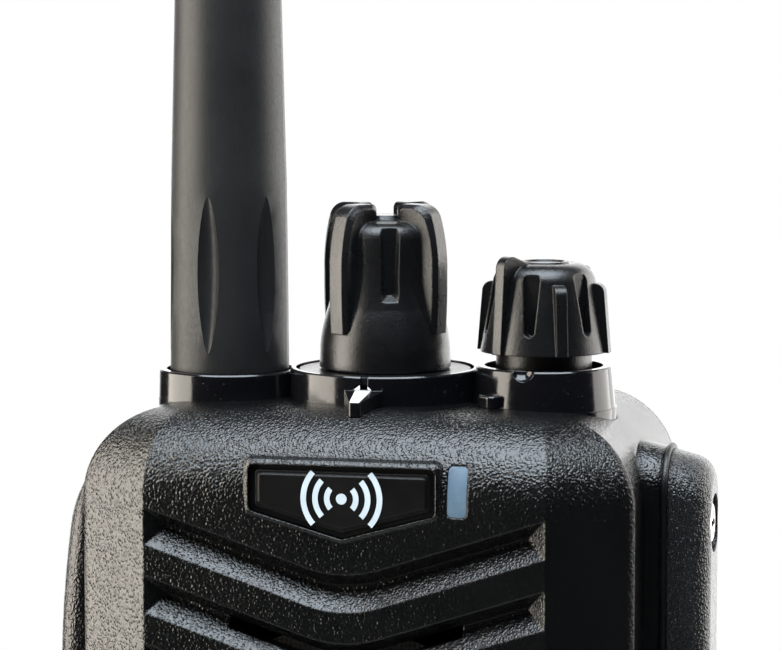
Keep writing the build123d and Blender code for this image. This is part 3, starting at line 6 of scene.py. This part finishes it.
import bmesh
import bpy
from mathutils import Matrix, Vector


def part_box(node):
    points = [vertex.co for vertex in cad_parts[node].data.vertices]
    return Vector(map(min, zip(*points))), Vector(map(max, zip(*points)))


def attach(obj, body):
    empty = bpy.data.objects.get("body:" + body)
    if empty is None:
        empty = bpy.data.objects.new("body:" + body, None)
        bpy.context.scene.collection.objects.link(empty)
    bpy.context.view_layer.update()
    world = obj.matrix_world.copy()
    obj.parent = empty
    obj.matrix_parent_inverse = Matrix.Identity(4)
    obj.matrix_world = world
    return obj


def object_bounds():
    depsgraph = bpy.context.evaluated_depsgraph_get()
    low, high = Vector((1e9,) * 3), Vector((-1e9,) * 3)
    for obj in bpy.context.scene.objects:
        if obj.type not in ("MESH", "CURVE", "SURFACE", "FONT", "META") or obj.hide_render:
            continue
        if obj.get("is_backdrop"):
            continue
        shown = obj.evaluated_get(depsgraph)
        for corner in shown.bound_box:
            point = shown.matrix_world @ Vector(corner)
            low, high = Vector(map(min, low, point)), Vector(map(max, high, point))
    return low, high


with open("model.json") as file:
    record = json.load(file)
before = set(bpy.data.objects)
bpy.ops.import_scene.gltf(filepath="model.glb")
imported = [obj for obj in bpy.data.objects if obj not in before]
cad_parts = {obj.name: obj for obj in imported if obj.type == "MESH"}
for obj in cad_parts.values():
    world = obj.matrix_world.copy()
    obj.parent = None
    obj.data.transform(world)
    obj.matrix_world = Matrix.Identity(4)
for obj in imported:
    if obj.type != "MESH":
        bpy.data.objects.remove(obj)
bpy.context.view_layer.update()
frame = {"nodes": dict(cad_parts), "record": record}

MM = 0.001
RIM_Z = 119.0 * MM  # rim of the middle collar: everything on top is placed from it
INDEX_TOP, INDEX_FALL = 117.8, 0.19  # top of the index wedge at the collar in mm, and its fall per length
INDEX_ROOT_Y = -8.5  # where that top is measured, in mm

# the sign on the badge, in mm
ARC_RADII, ARC_HALF_WIDTH, ARC_HALF_ANGLE, ARC_STEPS = (1.35, 2.45, 3.55), 0.26, radians(42), 18
DOT_R, DOT_POINTS = 0.5, 24
INK_THICK = 0.03 * MM
SIGN_DROP = 2.9 * MM  # its centre below the badge's top

# where the grain changes, in mm
SIDE_WALL_X = 22.5, 23.5  # from the front's rounded edge to the side wall
GRAIN_FADE_X = -14.0, 16.0  # the relief falls to the right between these
CROWN_Z = 106.0, 111.0  # and rises towards the crown between these

INDEX_FOOT_Y, INDEX_TIP_Y = -9.12, -12.62  # ends of the white index line, in mm
PAINT_LIFT = 0.015  # of that line above the wedge, in mm
FLOOR_RADIUS = 0.38

# camera: where it stands, where it looks and how long its lens is
CAMERA_AZIMUTH = radians(13.05)
CAMERA_HEIGHT = radians(6.5)
CAMERA_DISTANCE = 0.305
CAMERA_YAW = radians(12.954)
CAMERA_PITCH = radians(-5.761)
LENS_MM, SENSOR_MM = 147.5, 36.0
BACKDROP_TURN = radians(12.0)  # the white backdrop reaches further round the right side


# ---------------------------------------------------------------- node helpers
class Nodes:
    """Short way to build one material's node tree."""

    def __init__(self, name):
        self.material = bpy.data.materials.new(name)
        self.material.use_nodes = True
        self.tree = self.material.node_tree
        self.tree.nodes.clear()
        output = self.tree.nodes.new("ShaderNodeOutputMaterial")
        self.shader = self.tree.nodes.new("ShaderNodeBsdfPrincipled")
        self.link(self.shader.outputs[0], output.inputs["Surface"])
        self.place = self.tree.nodes.new("ShaderNodeTexCoord").outputs["Object"]

    def link(self, a, b):
        self.tree.links.new(a, b)

    def node(self, kind, **values):
        """A new node; values that are sockets are linked, others are set."""
        made = self.tree.nodes.new(kind)
        for key, value in values.items():
            if hasattr(made, key):
                setattr(made, key, value)
                continue
            socket = made.inputs[key.replace("_", " ")]
            if isinstance(value, bpy.types.NodeSocket):
                self.link(value, socket)
            else:
                socket.default_value = value
        return made

    def noise(self, scale, detail=2.0, roughness=0.5, place=None):
        """Noise between 0 and 1, on the object coordinates unless a place is given."""
        made = self.node("ShaderNodeTexNoise", Scale=scale, Detail=detail, Roughness=roughness)
        self.link(place or self.place, made.inputs["Vector"])
        return made.outputs["Fac"]

    def cells(self, scale, smooth, place):
        """Distance to the nearest cell centre, smoothed where cells meet."""
        made = self.node("ShaderNodeTexVoronoi", Scale=scale)
        made.feature = "SMOOTH_F1"
        made.inputs["Smoothness"].default_value = smooth
        self.link(place, made.inputs["Vector"])
        return made.outputs["Distance"]

    def math(self, operation, a, b=0.0):
        """Result of a sum on two sockets or values."""
        made = self.tree.nodes.new("ShaderNodeMath")
        made.operation = operation
        for socket, value in zip(made.inputs, (a, b)):
            if isinstance(value, bpy.types.NodeSocket):
                self.link(value, socket)
            else:
                socket.default_value = value
        return made.outputs[0]

    def spread(self, value, low, high, to_low=0.0, to_high=1.0):
        """Maps a value from one range to another, and holds it inside the second."""
        made = self.tree.nodes.new("ShaderNodeMapRange")
        self.link(value, made.inputs["Value"])
        for name, number in zip(("From Min", "From Max", "To Min", "To Max"), (low, high, to_low, to_high)):
            made.inputs[name].default_value = number
        return made.outputs["Result"]

    def blend(self, amount, a, b):
        """Colour between a and b by an amount."""
        made = self.tree.nodes.new("ShaderNodeMix")
        made.data_type = "RGBA"
        self.link(amount, made.inputs["Factor"])
        made.inputs["A"].default_value = (*a, 1.0)
        made.inputs["B"].default_value = (*b, 1.0)
        return made.outputs["Result"]

    def bump(self, height, depth, under=None):
        """Normal roughened by a height map; under is the normal that it starts from."""
        made = self.tree.nodes.new("ShaderNodeBump")
        made.inputs["Strength"].default_value = 1.0
        made.inputs["Distance"].default_value = depth
        self.link(height, made.inputs["Height"])
        if under is not None:
            self.link(under, made.inputs["Normal"])
        return made.outputs["Normal"]

    def soft_edges(self, radius):
        """Normal with the sharp edges rounded off by a radius, which may be a socket."""
        made = self.tree.nodes.new("ShaderNodeBevel")
        made.samples = 6
        if isinstance(radius, bpy.types.NodeSocket):
            self.link(radius, made.inputs["Radius"])
        else:
            made.inputs["Radius"].default_value = radius
        return made.outputs["Normal"]

    def stretched(self, x, y, z):
        """Object coordinates scaled per axis: below 1 lengthens a pattern along that axis."""
        made = self.node("ShaderNodeVectorMath", operation="MULTIPLY")
        self.link(self.place, made.inputs[0])
        made.inputs[1].default_value = (x, y, z)
        return made.outputs[0]

    def finish(self, color, roughness, normal=None, metallic=0.0, **fixed):
        """Connects the shader: colour and roughness are sockets or values, fixed holds other values."""
        shader = self.shader
        shader.inputs["Metallic"].default_value = metallic
        for name, value in (("Base Color", color), ("Roughness", roughness)):
            if isinstance(value, bpy.types.NodeSocket):
                self.link(value, shader.inputs[name])
            else:
                shader.inputs[name].default_value = value
        if normal is not None:
            self.link(normal, shader.inputs["Normal"])
        for name, value in fixed.items():
            shader.inputs[name.replace("_", " ")].default_value = value
        return self.material


# ---------------------------------------------------------------- materials
def grained_plastic(
    name, grain=3700.0, depth=72e-6, base=0.0026, rough=0.15, edge=0.3, side_edge=0.95, fade=0.74
):
    """Black plastic with a coarse leather grain, which is shallower on the right and deeper near the top.

    The edges look rounded by edge mm on the front and by side_edge mm on the side walls."""
    n = Nodes(name)
    upright = n.stretched(1.0, 1.0, 0.82)
    split = n.node("ShaderNodeSeparateXYZ")
    n.link(n.place, split.inputs[0])
    outward = n.math("ABSOLUTE", split.outputs["X"])
    rounding = n.spread(outward, SIDE_WALL_X[0] * MM, SIDE_WALL_X[1] * MM, edge * MM, side_edge * MM)
    # pebbles whose places are pushed about by a coarser noise, with fine creases over them
    warp = n.node("ShaderNodeTexNoise", Scale=grain * 0.4, Detail=1.0)
    n.link(upright, warp.inputs["Vector"])
    shift = n.node("ShaderNodeVectorMath", operation="SCALE")
    n.link(warp.outputs["Color"], shift.inputs[0])
    shift.inputs["Scale"].default_value = 1.1 / grain
    moved = n.node("ShaderNodeVectorMath", operation="ADD")
    n.link(upright, moved.inputs[0])
    n.link(shift.outputs[0], moved.inputs[1])
    pebbles = n.spread(n.cells(grain, 0.35, moved.outputs[0]), 0.05, 0.62, 1.0, 0.0)
    creases = n.noise(grain * 1.5, 2.0, 0.5, upright)
    grit = n.math("ADD", n.math("MULTIPLY", pebbles, 0.6), n.math("MULTIPLY", creases, 0.7))
    # relief along the width, and more of it towards the crown
    right = n.spread(split.outputs["X"], GRAIN_FADE_X[0] * MM, GRAIN_FADE_X[1] * MM, 1.0, fade)
    top = n.spread(split.outputs["Z"], CROWN_Z[0] * MM, CROWN_Z[1] * MM, 0.0, 0.3)
    height = n.math("MULTIPLY", grit, n.math("ADD", right, top))
    worn = n.noise(90.0, 3.0, 0.6)
    color = n.blend(n.spread(worn, 0.35, 0.75), (base, base * 1.1, base * 1.15), (base * 1.6,) * 3)
    # the creases between the pebbles are duller than their tops
    polish = n.spread(worn, 0.25, 0.75, rough - 0.02, rough + 0.03)
    rough_map = n.math("ADD", polish, n.spread(grit, 0.35, 0.7, 0.05, 0.0))
    return n.finish(color, rough_map, n.bump(height, depth, under=n.soft_edges(rounding)))


def spark_plastic(name, grain=5200.0, depth=34e-6, base=0.005, rough=0.27, edge=0.2):
    """Satin black plastic with a fine spark-eroded texture and a little dust; edge is a rounding in mm."""
    n = Nodes(name)
    fine = n.noise(grain, 3.0, 0.6)
    large = n.noise(grain * 0.25, 2.0, 0.5)
    height = n.math("ADD", n.math("MULTIPLY", fine, 0.8), n.math("MULTIPLY", large, 0.4))
    dust = n.spread(n.noise(1500.0, 6.0, 0.8), 0.66, 0.76)
    color = n.blend(dust, (base, base, base * 1.1), (0.05, 0.05, 0.048))
    rough_map = n.spread(n.noise(260.0, 2.0), 0.3, 0.7, rough - 0.04, rough + 0.05)
    return n.finish(color, rough_map, n.bump(height, depth, under=n.soft_edges(edge * MM)))


def gloss_plastic(name):
    """Polished black plastic with faint moulding waves and a few specks of dust."""
    n = Nodes(name)
    waves = n.noise(900.0, 2.0, 0.5)
    specks = n.spread(n.noise(4200.0, 4.0, 0.7), 0.68, 0.75)
    color = n.blend(specks, (0.004, 0.004, 0.005), (0.22, 0.22, 0.21))
    rough_map = n.spread(n.noise(1400.0, 3.0, 0.6), 0.35, 0.8, 0.11, 0.2)
    return n.finish(color, rough_map, n.bump(waves, 5e-6, under=n.soft_edges(0.12 * MM)))


def antenna_rubber(name):
    """Matte dark grey rubber with a very fine grain."""
    n = Nodes(name)
    height = n.math("ADD", n.noise(6500.0, 3.0, 0.65), n.math("MULTIPLY", n.noise(1900.0, 2.0), 0.5))
    tint = n.spread(n.noise(140.0, 3.0, 0.6), 0.3, 0.75)
    color = n.blend(tint, (0.012, 0.0125, 0.013), (0.018, 0.0185, 0.019))
    rough_map = n.spread(n.noise(3000.0, 2.0), 0.3, 0.7, 0.36, 0.48)
    return n.finish(color, rough_map, n.bump(height, 16e-6), Specular_IOR_Level=0.26)


def soft_rubber(name):
    """Black key rubber."""
    n = Nodes(name)
    color = n.blend(n.spread(n.noise(200.0, 3.0), 0.3, 0.7), (0.014, 0.014, 0.015), (0.022, 0.022, 0.023))
    rough_map = n.spread(n.noise(1500.0, 2.0), 0.3, 0.7, 0.5, 0.66)
    return n.finish(color, rough_map, n.bump(n.noise(5000.0, 2.0), 8e-6))


def frosted_window(name):
    """Pale blue frosted light window."""
    n = Nodes(name)
    color = n.blend(n.spread(n.noise(700.0, 3.0), 0.3, 0.7), (0.07, 0.115, 0.165), (0.09, 0.14, 0.19))
    rough_map = n.spread(n.noise(2600.0, 2.0), 0.3, 0.7, 0.32, 0.48)
    return n.finish(color, rough_map, n.bump(n.noise(3000.0, 2.0), 6e-6))


def metal(name, color, rough=0.25, scratch=3000.0):
    """Bare or plated metal with fine turning marks."""
    n = Nodes(name)
    mark = n.noise(scratch, 3.0, 0.6)
    shade = n.blend(n.spread(n.noise(600.0, 2.0), 0.3, 0.7), tuple(c * 0.8 for c in color), color)
    rough_map = n.spread(mark, 0.3, 0.7, rough - 0.08, rough + 0.12)
    return n.finish(shade, rough_map, n.bump(mark, 3e-6), metallic=1.0)


def plain(name, color, rough=0.5, grain=2500.0, depth=5e-6):
    """Simple moulded, printed or painted stuff."""
    n = Nodes(name)
    shade = n.blend(n.spread(n.noise(300.0, 3.0), 0.3, 0.7), tuple(c * 0.85 for c in color), color)
    rough_map = n.spread(n.noise(grain, 2.0), 0.3, 0.7, rough - 0.06, rough + 0.06)
    return n.finish(shade, rough_map, n.bump(n.noise(grain, 2.0), depth))


def woven_cloth(name):
    """Black acoustic cloth: two sets of fine threads."""
    n = Nodes(name)
    waves = []
    for axis in ("X", "Z"):
        wave = n.node("ShaderNodeTexWave", bands_direction=axis, Scale=700.0, Distortion=0.4)
        n.link(n.place, wave.inputs["Vector"])
        waves.append(wave.outputs["Fac"])
    height = n.math("MAXIMUM", *waves)
    color = n.blend(height, (0.004, 0.004, 0.004), (0.02, 0.02, 0.02))
    return n.finish(color, 0.9, n.bump(height, 60e-6))


MATERIALS = {
    "housing_plastic": grained_plastic("housing_grain"),
    # the chassis's base colour is set lighter than the housing's as painted light: it stands in for the hazy
    # veil of backdrop light on the rear parts
    "chassis_plastic": grained_plastic(
        "chassis_grain", grain=4400.0, depth=130e-6, base=0.01, side_edge=0.5, fade=1.0
    ),
    "collar_plastic": gloss_plastic("collar_gloss"),
    "knob_plastic": spark_plastic("knob_satin"),
    "antenna_rubber": antenna_rubber("antenna_matte"),
    "soft_rubber": soft_rubber("key_rubber"),
    "window": frosted_window("light_window"),
    "steel": metal("nickel_steel", (0.62, 0.61, 0.58), 0.2),
    "brass": metal("turned_brass", (0.72, 0.53, 0.24)),
    "gold_contact": metal("gold_plate", (0.85, 0.62, 0.28), 0.18),
    "alloy": metal("plain_alloy", (0.55, 0.56, 0.57), 0.3),
    "board": plain("board_green", (0.015, 0.09, 0.04), 0.35),
    "inner_plastic": spark_plastic("inner_black", depth=8e-6, base=0.002, rough=0.34),
    "cloth": woven_cloth("speaker_weave"),
    "speaker_metal": metal("speaker_steel", (0.35, 0.35, 0.36), 0.35),
    "cell_wrap": plain("cell_wrap_blue", (0.05, 0.13, 0.3), 0.3),
}


# nodes whose surface differs a little from the rest of their slot
SPECIAL = {
    # the cover's base colour is set lighter than the housing's as painted light: it stands in for the hazy
    # veil of backdrop light on it
    "accessory_cover": grained_plastic(
        "cover_grain", grain=4200.0, depth=110e-6, base=0.008, rough=0.17, side_edge=0.3, fade=1.0
    ),
    "cover_gasket": spark_plastic("gasket_black", base=0.002, rough=0.4),
}


def paint_frame():
    """Gives every CAD node the material of its slot."""
    slots = {row["node"]: row["material_slot"] for row in frame["record"]["subparts"]}
    for name, obj in frame["nodes"].items():
        obj.data.materials.clear()
        obj.data.materials.append(SPECIAL.get(name) or MATERIALS[slots[name]])
        for face in obj.data.polygons:
            face.material_index = 0


# ---------------------------------------------------------------- added pieces
def add_mesh(name, points, faces, material, body, thickness, toward=(0, -1, 0)):
    """A piece from points and faces, made solid by a thickness towards a direction."""
    mesh = bpy.data.meshes.new(name)
    shape = bmesh.new()
    corners = [shape.verts.new(p) for p in points]
    made = [shape.faces.new([corners[i] for i in face]) for face in faces]
    raised = bmesh.ops.extrude_face_region(shape, geom=made)
    far = [v for v in raised["geom"] if isinstance(v, bmesh.types.BMVert)]
    bmesh.ops.translate(shape, verts=far, vec=Vector(toward) * thickness)
    bmesh.ops.recalc_face_normals(shape, faces=shape.faces)
    shape.to_mesh(mesh)
    shape.free()
    obj = bpy.data.objects.new(name, mesh)
    bpy.context.scene.collection.objects.link(obj)
    mesh.materials.append(material)
    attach(obj, body)


def badge_sign():
    """Generic radio-wave sign on the badge: a dot with three arcs on each side."""
    low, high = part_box("emblem_plate")
    y = low[1] - 0.01 * MM
    centre = Vector((0.0, y, high[2] - SIGN_DROP))
    ink = plain("badge_ink", (0.50, 0.58, 0.64), 0.4)
    for i, radius in enumerate(ARC_RADII):
        for side in (-1, 1):
            points, faces = [], []
            for k in range(ARC_STEPS + 1):
                a = ARC_HALF_ANGLE * (2 * k / ARC_STEPS - 1)
                for r in (radius - ARC_HALF_WIDTH, radius + ARC_HALF_WIDTH):
                    points.append(centre + Vector((side * r * cos(a), 0, r * sin(a))) * MM)
            for k in range(ARC_STEPS):
                faces.append((2 * k, 2 * k + 1, 2 * k + 3, 2 * k + 2))
            label = f"badge_arc_{i}_{'left' if side < 0 else 'right'}"
            add_mesh(label, points, faces, ink, "housing", INK_THICK)
    turns = [2 * pi * k / DOT_POINTS for k in range(DOT_POINTS)]
    dot = [centre + Vector((DOT_R * cos(turn), 0, DOT_R * sin(turn))) * MM for turn in turns]
    add_mesh("badge_dot", dot, [tuple(range(DOT_POINTS))], ink, "housing", INK_THICK)


def index_paint():
    """White patch along the index wedge, and a small white triangle on each side of the notch above it."""
    paint = plain("index_white", (0.82, 0.82, 0.8), 0.45, depth=3e-6)
    rows = []
    for y, half in ((INDEX_FOOT_Y, 0.74), (INDEX_TIP_Y, 0.44)):
        z = INDEX_TOP - INDEX_FALL * (INDEX_ROOT_Y - y) + PAINT_LIFT
        rows += [(-half * MM, y * MM, z * MM), (half * MM, y * MM, z * MM)]
    add_mesh("index_line", rows, [(0, 1, 3, 2)], paint, "housing", 0.04 * MM, (0, 0, 1))
    for side, width, height in ((-1, 0.6, 0.45), (1, 0.34, 0.32)):
        inner = 0.08 + side * 0.37
        corners = ((inner, 0.0), (inner + side * width, 0.0), (inner, height))
        wall = [(x * MM, (INDEX_FOOT_Y - 0.04) * MM, (INDEX_TOP + z) * MM) for x, z in corners]
        label = f"index_corner_{'left' if side < 0 else 'right'}"
        add_mesh(label, wall, [(0, 1, 2)], paint, "housing", 0.05 * MM, (0, 1, 0))


def floor():
    """Pale floor that the radio stands on."""
    mesh = bpy.data.meshes.new("floor")
    shape = bmesh.new()
    bmesh.ops.create_circle(shape, cap_ends=True, segments=96, radius=FLOOR_RADIUS)
    shape.to_mesh(mesh)
    shape.free()
    obj = bpy.data.objects.new("floor", mesh)
    bpy.context.scene.collection.objects.link(obj)
    obj.location.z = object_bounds()[0][2]
    n = Nodes("floor_pale")
    shade = n.blend(n.spread(n.noise(6.0, 3.0), 0.3, 0.7), (0.74, 0.74, 0.73), (0.78, 0.78, 0.77))
    mesh.materials.append(n.finish(shade, 0.9))
    obj.visible_glossy = False  # the glossy front mirrors the dark room, not the floor
    obj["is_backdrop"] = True


# ---------------------------------------------------------------- lights and camera
def softbox(name, azimuth, height, distance, width, tall, color, power):
    """Area light seen from the controls at an azimuth from the front towards +X, and at a height angle."""
    a, e = radians(azimuth), radians(height)
    light = bpy.data.lights.new(name, "AREA")
    light.shape = "RECTANGLE"
    light.size, light.size_y = width, tall
    light.energy = power
    light.color = color
    obj = bpy.data.objects.new(name, light)
    bpy.context.scene.collection.objects.link(obj)
    direction = Vector((sin(a) * cos(e), -cos(a) * cos(e), sin(e)))
    obj.location = Vector((0, 0, RIM_Z)) + direction * distance
    obj.rotation_euler = direction.to_track_quat("Z", "Y").to_euler()


def lights():
    """Warm box on the left, neutral one behind on the right, cool one above: azimuths from the camera's."""
    cam = degrees(CAMERA_AZIMUTH)
    warm, neutral, cool = (1.0, 0.93, 0.82), (1.0, 0.97, 0.92), (0.82, 0.91, 1.0)
    softbox("left_box", cam - 88, 8, 0.62, 0.60, 0.75, warm, 12.0)
    softbox("right_box", cam + 110, 12, 0.80, 0.70, 0.75, neutral, 7.0)
    softbox("top_box", cam - 5, 72, 0.70, 0.75, 0.60, cool, 15.0)


def backdrop():
    """White surroundings behind the radio, dark ones in front; plain white where the camera looks past it."""
    world = bpy.data.worlds.new("studio")
    bpy.context.scene.world = world
    world.use_nodes = True
    tree = world.node_tree
    tree.nodes.clear()
    new, link = tree.nodes.new, tree.links.new
    place = new("ShaderNodeTexCoord").outputs["Generated"]
    # depth away from the camera, turned a little to the right: positive behind the radio
    turned = CAMERA_AZIMUTH - BACKDROP_TURN
    behind = new("ShaderNodeVectorMath")
    behind.operation = "DOT_PRODUCT"
    link(place, behind.inputs[0])
    behind.inputs[1].default_value = (-sin(turned), cos(turned), 0.0)
    down = new("ShaderNodeSeparateXYZ")
    link(place, down.inputs[0])
    glow = new("ShaderNodeMath")
    glow.operation = "MAXIMUM"
    # bright backdrop behind the radio, and a dimmer ground below it
    for i, (source, reach) in enumerate((
        (behind.outputs["Value"], (0.66, 0.88, 0.01, 2.3)),
        (down.outputs["Z"], (-0.5, -0.72, 0.01, 0.6)),
    )):
        ramp = new("ShaderNodeMapRange")
        ramp.interpolation_type = "SMOOTHSTEP"
        link(source, ramp.inputs["Value"])
        for name, value in zip(("From Min", "From Max", "To Min", "To Max"), reach):
            ramp.inputs[name].default_value = value
        link(ramp.outputs["Result"], glow.inputs[i])
    # what the radio mirrors from behind is brighter than the plain white that the camera sees
    path = new("ShaderNodeLightPath")
    level = new("ShaderNodeMix")
    level.data_type = "FLOAT"
    link(path.outputs["Is Camera Ray"], level.inputs["Factor"])
    link(glow.outputs[0], level.inputs["A"])
    level.inputs["B"].default_value = 1.0
    shader = new("ShaderNodeBackground")
    shader.inputs["Color"].default_value = (1.0, 1.0, 1.0, 1.0)
    link(level.outputs["Result"], shader.inputs["Strength"])
    output = new("ShaderNodeOutputWorld")
    link(shader.outputs[0], output.inputs["Surface"])


def camera():
    """Long lens a little above the controls and to their right."""
    data = bpy.data.cameras.new("camera")
    data.lens, data.sensor_width = LENS_MM, SENSOR_MM
    data.sensor_fit = "HORIZONTAL"
    data.clip_start = 0.01
    obj = bpy.data.objects.new("camera", data)
    bpy.context.scene.collection.objects.link(obj)
    away = Vector((
        sin(CAMERA_AZIMUTH) * cos(CAMERA_HEIGHT),
        -cos(CAMERA_AZIMUTH) * cos(CAMERA_HEIGHT),
        sin(CAMERA_HEIGHT),
    ))
    obj.location = Vector((0, 0, RIM_Z)) + away * CAMERA_DISTANCE
    obj.rotation_euler = (pi / 2 + CAMERA_PITCH, 0, CAMERA_YAW)
    bpy.context.scene.camera = obj


def view_settings():
    """Plain colours, so that white stays white."""
    bpy.context.scene.view_settings.view_transform = "Standard"


paint_frame()
badge_sign()
index_paint()
floor()
lights()
backdrop()
camera()
view_settings()
